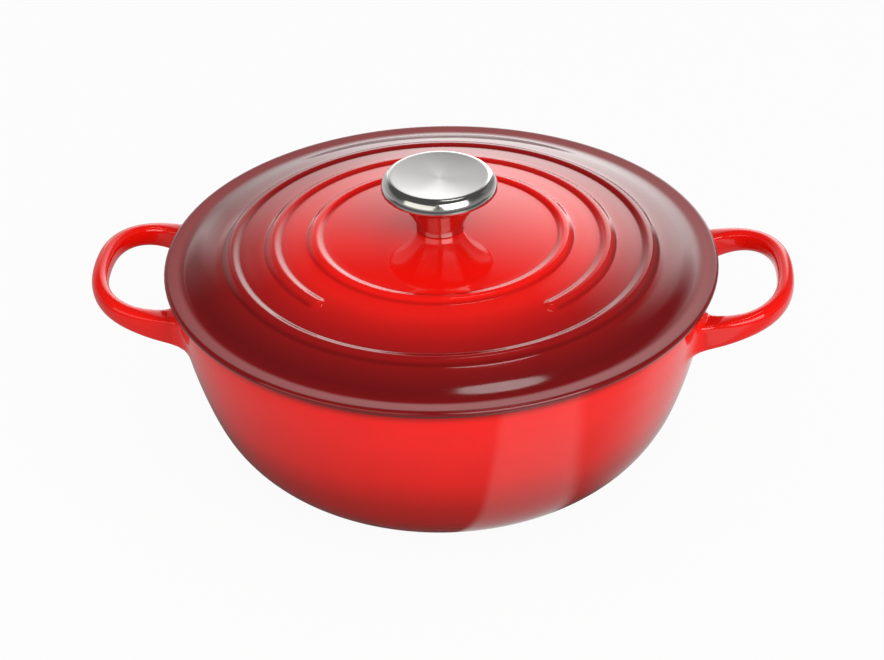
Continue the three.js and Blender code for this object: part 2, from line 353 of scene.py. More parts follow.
# %% [markdown]
# ## Enamel outside
# Enamel is coloured glass fused to iron. On this pot it shades as two sprayed coats do: the lid turns
# from bright red in the middle to burgundy at its edge, and the pot from bright red near the rim to
# a deeper red at its base. That could be painted by hand. It follows distance from the middle on the
# lid and height on the pot, so a ramp over those gives it exactly. A slow noise clouds the colour,
# and a faint bump makes the mirror slightly wavy.

# %% Enamel
GLASS_IOR = 1.52
CLOUD_SCALE = 45
CLOUD_DETAIL = 3
CLOUD_LOW = 0.93
CLOUD_SPAN = 0.14
PEEL_SCALE = 160
PEEL_DEPTH = 0.006 * MM
PEEL_ROUGHNESS = 0.05


def enamel(name, colour_at, roughness):
    """A glossy enamel whose colour comes from a function of the place on the piece."""
    material, sheet = new_finish(name)
    where = sheet.place()
    cloud = sheet.noise(where, CLOUD_SCALE, CLOUD_DETAIL)
    peel = sheet.noise(where, PEEL_SCALE)
    close_finish(sheet, {
        "Base Color": sheet.shade(colour_at(sheet, where), CLOUD_LOW + CLOUD_SPAN * cloud),
        "Roughness": roughness + PEEL_ROUGHNESS * peel,
        "IOR": GLASS_IOR,
        "Normal": sheet.bump(peel, PEEL_DEPTH),
    })
    return material


print("enamel ready, with a wave of", round(PEEL_DEPTH / MM, 4), "mm")

# %% Red enamel of the pot
# Colours at heights from the base, 0, to the rim, 1.
POT_SHADES = [
    (0.0, (0.36, 0.012, 0.008)),
    (0.20, (0.38, 0.011, 0.007)),
    (0.39, (0.46, 0.009, 0.005)),
    (0.58, (0.75, 0.007, 0.003)),
    (0.92, (0.88, 0.006, 0.002)),
]
POT_ROUGHNESS = 0.07
# Under the rim: the enamel's own darker edge, plus a painted shadow of the lid's overhang.
RIM_TONE_AND_SHADOW = (0.94, 1.0, 1, 0.3)
HANDLE_FROM = (LID_R - 1 * MM, LID_R + 1 * MM)
# Painted shade: the handles are the wall's enamel, dimmed so that their tops look less lit.
HANDLE_PAINTED_SHADE = 0.85


def colour_by_height(sheet, where):
    """Ramp over the height, with the enamel's darker edge and a painted shadow of the lid under the rim,
    and a painted shade on the handles instead.
    """
    x, y, z = sheet.axes(where)
    height = z / POT_TOP
    on_handle = sheet.between(from_axis(x, y), *HANDLE_FROM)
    light = sheet.between(height, *RIM_TONE_AND_SHADOW)
    return sheet.shade(sheet.ramp(height, POT_SHADES), light + on_handle * (HANDLE_PAINTED_SHADE - light))


pot_enamel = enamel("red_pot_enamel", colour_by_height, POT_ROUGHNESS)
print("pot:", pot_enamel.name, "in", len(POT_SHADES), "shades")

# %% Red enamel of the lid
# Colours at distances from the middle, 0, to the edge, 1.
LID_SHADES = [
    (0.0, (0.80, 0.006, 0.003)),
    (0.45, (0.78, 0.006, 0.003)),
    (0.535, (0.72, 0.009, 0.006)),
    (0.60, (0.52, 0.007, 0.005)),
    (0.675, (0.36, 0.005, 0.005)),
    (0.83, (0.18, 0.004, 0.0045)),
    (0.89, (0.135, 0.003, 0.004)),
    (0.925, (0.15, 0.003, 0.004)),
    (0.96, (0.235, 0.005, 0.006)),
    (1.0, (0.16, 0.004, 0.005)),
]
LID_ROUGHNESS = 0.045
RING_RADII = [61 * MM, 81.5 * MM, 102 * MM]
OPEN_RING = RING_RADII[1]
RING_OPEN = 42.2
RING_END_FADE = 0.02
# Darker at the rings' feet: partly glaze that pools there, partly painted shade in the creases.
RING_FOOT_AT = 3.4 * MM
RING_FOOT_W = 1.8 * MM
FOOT_POOL_AND_SHADE = 0.35


def colour_by_radius(sheet, where):
    """Ramp over the distance from the middle, darker at the rings' feet: glaze that pools there and
    painted shade in the creases.
    """
    x, y = sheet.axes(where)[:2]
    radius = from_axis(x, y)
    gap_end = math.cos(math.radians(RING_OPEN))
    ringed = sheet.between(0 - y / radius, gap_end - RING_END_FADE, gap_end + RING_END_FADE, 1, 0)
    light = 1
    for ring in RING_RADII:
        off_crest = sheet.math("ABSOLUTE", radius - ring)
        off_foot = sheet.math("ABSOLUTE", off_crest - RING_FOOT_AT)
        pool_and_shade = sheet.between(off_foot, 0, RING_FOOT_W, FOOT_POOL_AND_SHADE, 0)
        light = light * (1 - (pool_and_shade * ringed if ring == OPEN_RING else pool_and_shade))
    return sheet.shade(sheet.ramp(radius / LID_R, LID_SHADES), light)


lid_enamel = enamel("red_lid_enamel", colour_by_radius, LID_ROUGHNESS)
print("lid:", lid_enamel.name, "in", len(LID_SHADES), "shades")

# %% [markdown]
# ## Enamel inside and bare edges
# The inside of such a pot is a pale sand enamel, and the two edges where lid and pot meet are left
# with only a dark matt ground coat, so that they don't chip. Both could be flat colours. Fine specks
# in the pale one and a grain in the dark one keep them from looking like plastic.

# %% Sand enamel and ground coat
SPECK_SCALE = 900
SPECK_EDGE = (0.62, 0.72)
SAND_SHADES = [(0, (0.79, 0.70, 0.55)), (1, (0.62, 0.51, 0.36))]
SAND_ROUGHNESS = 0.1
GROUND_SHADES = [(0.3, (0.030, 0.022, 0.021)), (0.7, (0.055, 0.042, 0.040))]
GROUND_ROUGHNESS = 0.42


def sand_colour(sheet, where):
    speck = sheet.between(sheet.noise(where, SPECK_SCALE), *SPECK_EDGE)
    return sheet.ramp(speck, SAND_SHADES)


def ground_colour(sheet, where):
    return sheet.ramp(sheet.noise(where, SPECK_SCALE), GROUND_SHADES)


sand_enamel = enamel("sand_enamel", sand_colour, SAND_ROUGHNESS)
ground_coat = enamel("dark_ground_coat", ground_colour, GROUND_ROUGHNESS)
print("inside:", sand_enamel.name, "edges:", ground_coat.name)

# %% [markdown]
# ## Steel
# The knob is pressed from stainless sheet. Its dish is brushed on a turntable, which leaves fine
# rings that spread a highlight into a fan, and its rim and stem are polished. The rings could be
# modelled, but they are finer than a hair. Here the fan is a stretched gloss, set with one number,
# and the rings are a noise that depends only on the distance from the middle.

# %% Brushed, polished and plain steel
BRUSH_LINES = 2600
BRUSH_DETAIL = 3
BRUSH_DEPTH = 0.004 * MM
BRUSH_RISE = 0.5
TONE_LOW = 0.94
TONE_FADE = (0.3, 0.7)


def steel(name, colour, roughness, spread, stretch):
    """Steel with turned lines: spread is how far they change its roughness."""
    material, sheet = new_finish(name)
    where = sheet.place()
    x, y, z = sheet.axes(where)
    lines = sheet.field("TexNoise", {"noise_dimensions": "1D"}, {
        "W": from_axis(x, y) + z * BRUSH_RISE, "Scale": BRUSH_LINES, "Detail": BRUSH_DETAIL})
    dull = [c * TONE_LOW for c in colour]
    close_finish(sheet, {
        "Base Color": sheet.ramp(sheet.noise(where, CLOUD_SCALE), list(zip(TONE_FADE, (dull, colour)))),
        "Metallic": 1.0,
        "Roughness": roughness + spread * lines,
        "Anisotropic": stretch,
        "Normal": sheet.bump(lines, BRUSH_DEPTH * spread),
    })
    return material


brushed_steel = steel("brushed_steel", (0.74, 0.73, 0.72), roughness=0.44, spread=0.10, stretch=0.5)
polished_steel = steel("polished_steel", (0.70, 0.69, 0.67), roughness=0.12, spread=0.04, stretch=0)
plain_steel = steel("plain_steel", (0.56, 0.55, 0.53), roughness=0.26, spread=0.14, stretch=0)
print("steels:", brushed_steel.name, polished_steel.name, plain_steel.name)

# %% [markdown]
# ## Turning a piece
# Pot, lid, knob, screw and washer are all turned shapes: an outline that goes round an axis. A
# cylinder could be pushed into shape, but the outline is what a pattern maker would draw. It starts
# as one vertex, which is extruded from corner to corner, and is then spun in as many steps as each
# stretch of the circle needs.

# %% Draw an outline
def draw_outline(name, outline):
    """One line of edges through (radius, height) points, in edit mode and all selected."""
    bpy.ops.object.select_all(action="DESELECT")
    bpy.ops.mesh.primitive_plane_add(size=MM)
    piece = bpy.context.object
    piece.name = name
    piece.data.name = name
    bpy.ops.object.mode_set(mode="EDIT")
    bpy.ops.mesh.select_mode(type="VERT")
    bpy.ops.mesh.select_all(action="SELECT")
    bpy.ops.mesh.merge(type="CENTER")
    bpy.ops.transform.translate(value=(outline[0][0], 0, outline[0][1]))
    for (r, z), (next_r, next_z) in zip(outline, outline[1:]):
        step = {"value": (next_r - r, 0, next_z - z)}
        bpy.ops.mesh.extrude_vertices_move(TRANSFORM_OT_translate=step)
    bpy.ops.mesh.select_all(action="SELECT")
    return piece


print("outlines can be drawn")

# %% Spin and weld
WELD = 2e-6
SMOOTH_ANGLE = math.radians(40)


def spin_on(degrees, steps):
    """Carries the selected outline on round Z, and leaves its far end selected."""
    bpy.ops.mesh.spin(steps=steps, angle=-math.radians(degrees), center=(0, 0, 0), axis=(0, 0, 1))


def weld_and_face_out():
    bpy.ops.mesh.select_all(action="SELECT")
    bpy.ops.mesh.remove_doubles(threshold=WELD)
    bpy.ops.mesh.normals_make_consistent(inside=False)


def turned(name, outline, steps):
    """A whole turned piece, left in object mode."""
    piece = draw_outline(name, outline)
    spin_on(360, steps)
    weld_and_face_out()
    bpy.ops.object.mode_set(mode="OBJECT")
    bpy.ops.object.shade_smooth_by_angle(angle=SMOOTH_ANGLE)
    return piece


print("outlines can be spun and welded")

# %% Points along lines and arcs
def along(start, end, steps):
    """Evenly spaced numbers from start to end, both included."""
    return [start + (end - start) * i / steps for i in range(steps + 1)]


def arc(centre, radius, start, end, steps):
    """Points on an arc of an outline, with its angles in degrees."""
    turns = [math.radians(degrees) for degrees in along(start, end, steps)]
    return [(centre[0] + radius * math.cos(a), centre[1] + radius * math.sin(a)) for a in turns]


print("half a circle in two steps:", [(round(r), round(z)) for r, z in arc((0, 0), 1, 0, 180, 2)])

# %% Modifiers and paint
def apply_modifier(piece, kind, **settings):
    """Adds one modifier to a piece, sets it up and applies it."""
    bpy.context.view_layer.objects.active = piece
    piece.select_set(True)
    bpy.ops.object.modifier_add(type=kind)
    modifier = piece.modifiers[-1]
    for name, value in settings.items():
        setattr(modifier, name, value)
    bpy.ops.object.modifier_apply(modifier=modifier.name)


def paint_faces(piece, materials, choose):
    """Gives each face the finish whose number choose() returns for its middle."""
    for material in materials:
        piece.data.materials.append(material)
    for face in piece.data.polygons:
        face.material_index = choose(face.center)


print("modifiers and paint ready")

# %% [markdown]
# ## Pot wall
# The pot is a bowl: a flat base, a round corner and a long side that leans out less and less. Half
# of its section, outside and inside, is one outline of arcs. Only a quarter is spun, because two
# mirrors make the rest, and the quarter is kept coarse, as a cage that a subdivision surface will
# round off. Its rows and columns are placed so that a block of nine faces lies where a handle
# leaves the wall.

# %% Shape of the bowl
LID_OVERHANG = 3.5 * MM
RIM_R = LID_R - LID_OVERHANG
CORNER_R = 54.9 * MM
CORNER_TURN = 70.3
SIDE_R = 246 * MM
CORNER_ROWS = 7

side_start = math.radians(CORNER_TURN - 90)
bend_r = (SIDE_R - CORNER_R) * math.cos(side_start)
bend_z = (SIDE_R - CORNER_R) * math.sin(side_start)
side_end = math.asin((POT_TOP - CORNER_R + bend_z) / SIDE_R)
base_r = RIM_R - SIDE_R * math.cos(side_end) + bend_r


def wall_radius(z, inset=0.0, floor=0.0):
    """How far the outer wall, or its inner face, stands from the axis at a height."""
    middle_r = base_r - bend_r
    middle_z = floor + CORNER_R - inset - bend_z
    return middle_r + math.sqrt((SIDE_R - inset) ** 2 - (z - middle_z) ** 2)


def wall_corner(inset=0.0, floor=0.0):
    centre = (base_r, floor + CORNER_R - inset)
    return arc(centre, CORNER_R - inset, -90, CORNER_TURN - 90, CORNER_ROWS)


print("bowl: base", round(base_r / MM, 1), "and rim", round(RIM_R / MM, 1), "mm in radius")

# %% Bowl outline
WALL = 4.2 * MM
FLOOR_T = 5 * MM
RIM_EASE = 0.9 * MM
SIDE_ROWS = 4
INNER_ROWS = 6
HANDLE_DROP = 8.8 * MM
HANDLE_TOP = POT_TOP - HANDLE_DROP
ROOT_DEPTH = 15 * MM
ROOT_EDGE = 1.5 * MM

outer = wall_corner()
inner = wall_corner(WALL, FLOOR_T)
root_rows = [HANDLE_TOP - ROOT_DEPTH, HANDLE_TOP - ROOT_DEPTH + ROOT_EDGE,
             HANDLE_TOP - ROOT_EDGE, HANDLE_TOP]
rim_row = POT_TOP - RIM_EASE
outer_rows = along(outer[-1][1], root_rows[0], SIDE_ROWS)[1:] + root_rows[1:] + [rim_row]
inner_rows = along(inner[-1][1], rim_row, INNER_ROWS)[1:]
rim_out = wall_radius(POT_TOP)
rim_in = wall_radius(POT_TOP, WALL, FLOOR_T)

pot_outline = [(0, 0), (base_r / 2, 0), *outer]
pot_outline += [(wall_radius(z), z) for z in outer_rows]
pot_outline += [(rim_out - RIM_EASE, POT_TOP), (rim_in + RIM_EASE, POT_TOP)]
pot_outline += [(wall_radius(z, WALL, FLOOR_T), z) for z in reversed(inner_rows)]
pot_outline += [*reversed(inner), (base_r / 2, FLOOR_T), (0, FLOOR_T)]
print("pot outline:", len(pot_outline), "points")

# %% Quarter of the pot
ROOT_COLUMNS = [14.3, 16.1, 18.6, 20.4]
ROOT_SIDE_STEPS = 3
BACK_STEPS = 12

pot = draw_outline("cast_pot", pot_outline)
spin_on(ROOT_COLUMNS[0], ROOT_SIDE_STEPS)
for column, following in zip(ROOT_COLUMNS, ROOT_COLUMNS[1:]):
    spin_on(following - column, 1)
spin_on(90 - ROOT_COLUMNS[-1], BACK_STEPS)
weld_and_face_out()
print("quarter pot:", len(bmesh.from_edit_mesh(pot.data).faces), "faces")

# %% [markdown]
# ## Loop handles
# Each handle is cast with the pot: a strap that leaves the wall below the rim, rises a little as it
# goes round a loop, and comes back. It is deep and flat-topped at its roots, with a small web on the
# inside, and slimmer and rounder at its tip. A tube along a curve would give one section all the way
# and a hard line at the wall. Here the nine faces are extruded from station to station, up to the
# tip, and the cage turns the corner at the wall into a soft fillet. The mirrors add the other half.

# %% Strap sections along the loop
LOOP_STANDOFF = 3 * MM
LOOP_X = RIM_R + LOOP_STANDOFF
LOOP_REACH = 33 * MM
LOOP_SPREAD = 41.6 * MM
STRAP_W = 8.4 * MM
TIP_DEPTH = 10.6 * MM
TIP_LIFT = 8.4 * MM
# A bow of 1 is half an ellipse, and a smaller one makes the loop squarer.
LOOP_BOW = 0.82
ROOT_WEB = 4.5 * MM
TIP_EDGE = 3.8 * MM
TIP_TUCK = 0.9 * MM
LOOP_STATIONS = 8
loop_tip = LOOP_X + LOOP_REACH
loop_root = math.sqrt(RIM_R ** 2 - LOOP_SPREAD ** 2)


def blend(start, end, share):
    return start + (end - start) * share


def strap_section(turn):
    """Sixteen points of the strap's section where the loop has turned so far from its tip."""
    reach, spread = max(math.cos(turn), 0), math.sin(turn)
    x = LOOP_X + LOOP_REACH * reach ** LOOP_BOW
    y = LOOP_SPREAD * spread ** LOOP_BOW
    facing = 2 - LOOP_BOW
    outward = Vector((reach ** facing / LOOP_REACH, spread ** facing / LOOP_SPREAD, 0)).normalized()
    inward = (loop_tip - x) / (loop_tip - loop_root)
    near = inward ** 2
    middle = Vector((x, y, HANDLE_TOP + TIP_LIFT * (1 - inward)))
    depth = blend(TIP_DEPTH, ROOT_DEPTH, near)
    edge = blend(TIP_EDGE, ROOT_EDGE, near)
    tuck = blend(TIP_TUCK, 0, near)
    web = ROOT_WEB * near ** 2
    across = [-STRAP_W / 2 - web, -STRAP_W / 2 - web + edge, STRAP_W / 2 - edge, STRAP_W / 2]
    down = [-depth, -depth + edge, -edge, 0]
    tucked = (tuck, 0, 0, -tuck)
    points = []
    for i, a in enumerate(across):
        for j, d in enumerate(down):
            corner = i in (0, 3) and j in (0, 3)
            side = a + tucked[i] if corner else a
            drop = d + tucked[j] if corner else d
            points.append(middle + outward * side + Vector((0, 0, drop)))
    return points


def root_section():
    """The same sixteen points on the wall, where the handle leaves it."""
    points = []
    for column in ROOT_COLUMNS:
        turn = math.radians(column)
        for z in root_rows:
            r = wall_radius(z)
            points.append(Vector((r * math.cos(turn), r * math.sin(turn), z)))
    return points


sections = [root_section()]
sections += [strap_section(math.radians(d)) for d in along(90, 0, LOOP_STATIONS)]
print("handle stations:", len(sections))

# %% Extrude the strap
def nearest(points, place):
    return min(range(len(points)), key=lambda i: (points[i] - place).length_squared)


def pull_section(piece, old, new):
    """Extrudes the selected faces and moves their corners from one section to the next."""
    bpy.ops.mesh.extrude_region_move()
    mesh = bmesh.from_edit_mesh(piece.data)
    for vert in mesh.verts:
        if vert.select:
            vert.co = new[nearest(old, vert.co)]
    bmesh.update_edit_mesh(piece.data)


bpy.ops.mesh.select_all(action="DESELECT")
bpy.ops.mesh.select_mode(type="FACE")
mesh = bmesh.from_edit_mesh(pot.data)
for face in mesh.faces:
    middle = face.calc_center_median()
    column = math.degrees(math.atan2(middle.y, middle.x))
    in_column = ROOT_COLUMNS[0] < column < ROOT_COLUMNS[-1]
    in_rows = root_rows[0] < middle.z < root_rows[-1]
    outside = middle.xy.length > wall_radius(middle.z) - WALL / 2
    face.select_set(in_column and in_rows and outside)
print("handle grows from", sum(face.select for face in mesh.faces), "faces")
for old, new in zip(sections, sections[1:]):
    pull_section(pot, old, new)
bpy.ops.mesh.delete(type="FACE")
bpy.ops.mesh.select_all(action="SELECT")
bpy.ops.mesh.normals_make_consistent(inside=False)
bpy.ops.object.mode_set(mode="OBJECT")

# %% Mirror, paint and round off
MIRROR_WELD = 10 * WELD


def pot_finish(middle):
    """0 outside, 1 inside, 2 on the rim's edge."""
    if middle.z > rim_row and middle.xy.length < RIM_R:
        return 2
    if middle.z < FLOOR_T / 2:
        return 0
    if middle.z < inner[-1][1]:
        from_corner = Vector((middle.xy.length - base_r, middle.z - CORNER_R)).length
        on_floor = middle.xy.length < base_r
        return 1 if on_floor or from_corner < CORNER_R - WALL / 2 else 0
    return 1 if middle.xy.length < wall_radius(middle.z) - WALL / 2 else 0


apply_modifier(pot, "MIRROR", use_axis=(True, True, False), merge_threshold=MIRROR_WELD)
paint_faces(pot, [pot_enamel, sand_enamel, ground_coat], pot_finish)
apply_modifier(pot, "SUBSURF", levels=2, render_levels=2)
# A subdivided cage draws a circle in by this share, so the pot is grown back to its real radius.
column_step = math.radians(90 / (ROOT_SIDE_STEPS + len(ROOT_COLUMNS) - 1 + BACK_STEPS))
grow = 3 / (2 + math.cos(column_step))
bpy.ops.object.mode_set(mode="EDIT")
bpy.ops.mesh.select_all(action="SELECT")
bpy.ops.transform.resize(value=(grow, grow, 1), center_override=(0, 0, 0))
bpy.ops.object.mode_set(mode="OBJECT")
bpy.ops.object.shade_smooth()
print("pot:", len(pot.data.polygons), "faces, grown by", round(grow, 5))

# %% [markdown]
# ## Lid
# The lid is a shallow dome. Outside its outer ring a slope runs down to a flat flange, and how steep
# it is from place to place shapes the highlights there. The outline is spun like the others, but with
# fine steps round the two ends of the middle ring, which is open at the front. Rings could be separate
# beads joined by a Boolean, with a hard seam. Raising the dome itself keeps the surface whole, so the
# outline has close rows wherever a ring runs.

# %% Shape of the lid's top
DOME_RISE = 10.5 * MM
DOME_R = 105.5 * MM
# How steep the slope is at radii in millimetres.
EDGE_SLOPES = [(105.5, 0.2), (106.6, 0.285), (108.2, 0.285), (110, 0.235), (112, 0.24),
               (116.5, 0.265), (118.5, 0.30), (121.5, 0.30), (124.5, 0.25), (127.2, 0),
               (128.2, -0.05), (133.5, -0.05)]

flange_low = POT_TOP + SEAT_GAP
flange_top = flange_low + FLANGE_T


def top_height(r):
    """Height of the lid's upper face without its rings, added up from the edge inwards."""
    z = flange_top
    for (near, near_slope), (far, far_slope) in zip(EDGE_SLOPES, EDGE_SLOPES[1:]):
        if r < far * MM:
            start = max(r, near * MM)
            share = (start / MM - near) / (far - near)
            start_slope = near_slope + (far_slope - near_slope) * share
            z += (far * MM - start) * (start_slope + far_slope) / 2
    return z + DOME_RISE * max(0, 1 - (r / DOME_R) ** 2)


print("lid: flange at", round(flange_top / MM, 1), "and dome at", round(top_height(0) / MM, 1), "mm")

# %% Rows on the lid's top
STEM_R = 11.5 * MM
RING_W = 9.2 * MM
RING_ROWS = 26
DOME_ROW = 3 * MM
SLOPE_ROW = 0.75 * MM

edge_r = LID_R - FLANGE_T / 2


def rows_between(start, end, spacing):
    return along(start, end, max(1, round(abs(end - start) / spacing)))


top_radii = [STEM_R]
for radius in RING_RADII:
    top_radii += rows_between(top_radii[-1], radius - RING_W / 2, DOME_ROW)[1:]
    top_radii += along(radius - RING_W / 2, radius + RING_W / 2, RING_ROWS)[1:]
top_radii += rows_between(top_radii[-1], edge_r, SLOPE_ROW)[1:-1]
print("rows on top:", len(top_radii))

# %% Lid outline
LID_WALL = 4.5 * MM
HOLE_R = 3.4 * MM
SKIRT_DEPTH = 5 * MM
SKIRT_T = 3 * MM
SKIRT_CLEARANCE = 1.6 * MM
SKIRT_EASE = 0.6 * MM
UNDER_ROW = 6 * MM
EDGE_STEPS = 16
EASE_STEPS = 3

seat_z = top_height(STEM_R)
skirt_end = flange_low - SKIRT_DEPTH
skirt_r = wall_radius(skirt_end, WALL, FLOOR_T) - SKIRT_CLEARANCE
skirt_in = skirt_r - SKIRT_T
edge_middle = (edge_r, flange_low + FLANGE_T / 2)

lid_outline = [(HOLE_R, seat_z)]
lid_outline += [(r, top_height(r)) for r in top_radii]
lid_outline += arc(edge_middle, FLANGE_T / 2, 90, -90, EDGE_STEPS)
lid_outline += [(skirt_r, flange_low)]
ease_z = skirt_end + SKIRT_EASE
lid_outline += arc((skirt_r - SKIRT_EASE, ease_z), SKIRT_EASE, 0, -90, EASE_STEPS)
lid_outline += arc((skirt_in + SKIRT_EASE, ease_z), SKIRT_EASE, -90, -180, EASE_STEPS)
lid_outline += [(r, top_height(r) - LID_WALL) for r in rows_between(skirt_in, STEM_R, UNDER_ROW)]
lid_outline += [(HOLE_R, seat_z - LID_WALL), (HOLE_R, seat_z)]
print("lid outline:", len(lid_outline), "points")

# %% Spin the lid
FINE_REACH = 7
FRONT = 270
COARSE_STEP = 3
FINE_STEP = 0.5

fine_zones = [(FRONT - RING_OPEN - FINE_REACH, FRONT - RING_OPEN + FINE_REACH),
              (FRONT + RING_OPEN - FINE_REACH, FRONT + RING_OPEN + FINE_REACH)]
lid = draw_outline("cast_lid", lid_outline)
reached = 0
for start, end in fine_zones:
    spin_on(start - reached, round((start - reached) / COARSE_STEP))
    spin_on(end - start, round((end - start) / FINE_STEP))
    reached = end
spin_on(360 - reached, round((360 - reached) / COARSE_STEP))
weld_and_face_out()
bpy.ops.object.mode_set(mode="OBJECT")
print("lid:", len(lid.data.polygons), "faces")

# %% Raise the rings
RING_H = 1.5 * MM
RING_CREST = 1 * MM


def bead_share(away):
    """How high a ring is so far from its middle line: a crest, a flank and a soft foot."""
    down = (away - RING_CREST / 2) / (RING_W / 2 - RING_CREST / 2)
    down = min(max(down, 0), 1)
    return 1 - down * down * (3 - 2 * down)


def ring_share(place):
    """How much of a ring's height a point on the dome gets."""
    r = place.xy.length
    from_front = math.atan2(abs(place.x), -place.y)
    best = 0
    for radius in RING_RADII:
        away = abs(r - radius)
        if radius == OPEN_RING and from_front < math.radians(RING_OPEN):
            end = math.radians(RING_OPEN)
            tip = Vector((radius * math.sin(end), -radius * math.cos(end)))
            away = (Vector((abs(place.x), place.y)) - tip).length
        best = max(best, bead_share(away))
    return best


rings = lid.vertex_groups.new(name="rings")
for vert in lid.data.vertices:
    on_top = vert.co.z > top_height(vert.co.xy.length) - LID_WALL / 2
    rings.add([vert.index], ring_share(vert.co) if on_top else 0, "REPLACE")
apply_modifier(lid, "DISPLACE", direction="Z", mid_level=0, strength=RING_H, vertex_group="rings")
lid.vertex_groups.clear()
print("lid top at", round(max(v.co.z for v in lid.data.vertices) / MM, 2), "mm")

# %% [markdown]
# Three small pads on the skirt keep the lid centred in the mouth without binding. They are short
# cylinders with eased edges, joined to the casting by a Boolean, because they cut across the skirt
# at an angle that no row of the outline follows.

# %% Centring pads and lid finish
PAD_COUNT = 3
PAD_FIRST = 0.75
PAD_SIDES = 48
PAD_R = 7 * MM
PAD_REACH = 0.9 * MM
PAD_EASE = 0.5 * MM


def add_pad(turn):
    middle = skirt_r + PAD_REACH - PAD_R
    top = flange_low + FLANGE_T / 2
    place = (middle * math.cos(turn), middle * math.sin(turn), (top + skirt_end) / 2)
    bpy.ops.object.select_all(action="DESELECT")
    bpy.ops.mesh.primitive_cylinder_add(
        vertices=PAD_SIDES, radius=PAD_R, depth=top - skirt_end, location=place)
    pad = bpy.context.object
    bpy.ops.object.transform_apply(location=True, rotation=True, scale=True)
    apply_modifier(pad, "BEVEL", width=PAD_EASE, segments=EASE_STEPS)
    return pad


for i in range(PAD_COUNT):
    pad = add_pad(2 * math.pi * (i + PAD_FIRST) / PAD_COUNT)
    bpy.ops.object.select_all(action="DESELECT")
    apply_modifier(lid, "BOOLEAN", operation="UNION", object=pad)
    bpy.data.objects.remove(pad)


def lid_finish(middle):
    """0 on top, 1 below, 2 on the face that meets the pot."""
    r = middle.xy.length
    if r > skirt_r + PAD_REACH and middle.z < flange_low + SKIRT_EASE / 2:
        return 2
    return 1 if middle.z < top_height(r) - LID_WALL / 2 and r < skirt_r + PAD_REACH else 0


paint_faces(lid, [lid_enamel, sand_enamel, ground_coat], lid_finish)
bpy.ops.object.shade_smooth_by_angle(angle=SMOOTH_ANGLE)
print("finished lid:", len(lid.data.polygons), "faces")

# %% [markdown]
# ## Knob
# The knob is two pressings: a dished cap rolled over the edge of a flared stem. Both are turned
# outlines. Short Bezier curves give the rolled rim and the flare, because a few control points say
# more about such a shape than a row of radii.

# %% Curves from control points
def bezier(points, steps):
    """Points on a Bezier curve of any degree."""
    curve = []
    for share in along(0, 1, steps):
        rest = [Vector(p) for p in points]
        while len(rest) > 1:
            rest = [a.lerp(b, share) for a, b in zip(rest, rest[1:])]
        curve.append(tuple(rest[0]))
    return curve


print("middle of a curve over a corner:", bezier([(0, 0), (1, 0), (1, 1)], 2)[1])

# %% Knob cap
knob_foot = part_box("knob_stem")[0].z
knob_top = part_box("knob_cap")[1].z
KNOB_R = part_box("knob_cap")[1].x
KNOB_STEPS = 128
EDGE_Z = knob_foot + 22 * MM
CROWN_RISE = 3.2 * MM
CROWN_LEAN = 0.2 * MM
CROWN_ROLL = 2.4 * MM
CROWN_LIFT = 0.6 * MM
SEAM_R = 26.2 * MM
SEAM_Z = knob_foot + 20.5 * MM
SEAM_GAP = 0.3 * MM
DISH_R = 23.7 * MM
DISH_DEPTH = 1.6 * MM
SHELL_T = 1.6 * MM
DISH_STEPS = 16
LIP_STEPS = 8
CROWN_STEPS = 24


def dish_height(r):
    return knob_top - DISH_DEPTH * (1 - (r / DISH_R) ** 2)


cap_low = SEAM_Z + SEAM_GAP
inside_r = SEAM_R - SHELL_T
dish_radii = along(0, DISH_R, DISH_STEPS)
cap_outline = [(r * inside_r / DISH_R, dish_height(r) - SHELL_T) for r in dish_radii]
cap_outline += [(inside_r, cap_low)]
cap_outline += bezier([(SEAM_R, cap_low), (KNOB_R, cap_low), (KNOB_R, EDGE_Z)], LIP_STEPS)
crown = [(KNOB_R, EDGE_Z), (KNOB_R - CROWN_LEAN, EDGE_Z + CROWN_RISE),
         (DISH_R + CROWN_ROLL, knob_top + CROWN_LIFT), (dish_radii[-2], dish_height(dish_radii[-2]))]
cap_outline += bezier(crown, CROWN_STEPS)[1:]
cap_outline += [(r, dish_height(r)) for r in reversed(dish_radii[:-2])]


def cap_finish(middle):
    """0 in the dish, 1 on the rim and below."""
    return 0 if middle.xy.length < DISH_R and middle.z > cap_low + SHELL_T else 1


knob_cap = turned("dished_cap", cap_outline, KNOB_STEPS)
paint_faces(knob_cap, [brushed_steel, polished_steel], cap_finish)
print("cap:", len(knob_cap.data.polygons), "faces")

# %% Knob stem
STEM_STRAIGHT = 2 * MM
STEM_FLOOR = 2 * MM
FLARE_RISE = 2.6 * MM
FLARE_SPREAD = 7 * MM
FLARE_DROP = 4 * MM
NECK_R = 5.9 * MM
FLARE_STEPS = 24


def flare(inset):
    start = (STEM_R - inset, knob_foot + STEM_STRAIGHT)
    rise = (STEM_R - inset, knob_foot + STEM_STRAIGHT + FLARE_RISE)
    spread = (STEM_R - inset + FLARE_SPREAD, SEAM_Z - FLARE_DROP)
    return bezier([start, rise, spread, (SEAM_R - inset, SEAM_Z)], FLARE_STEPS)


stem_outline = [(NECK_R, knob_foot), (STEM_R, knob_foot), *flare(0), *reversed(flare(SHELL_T))]
stem_outline += [(STEM_R - SHELL_T, knob_foot + STEM_FLOOR), (NECK_R, knob_foot + STEM_FLOOR)]
stem_outline += [(NECK_R, knob_foot)]
knob_stem = turned("flared_stem", stem_outline, KNOB_STEPS)
knob_stem.data.materials.append(polished_steel)
print("stem:", len(knob_stem.data.polygons), "faces")

# %% [markdown]
# ## Screw and washer
# Under the lid one pan-head screw with a cross recess comes up through a split washer. The screw is
# turned, and two bars cut its recess. The washer is an outline that is spun not quite all the way
# round, with its two ends filled, which is how a coil of square wire is cut.

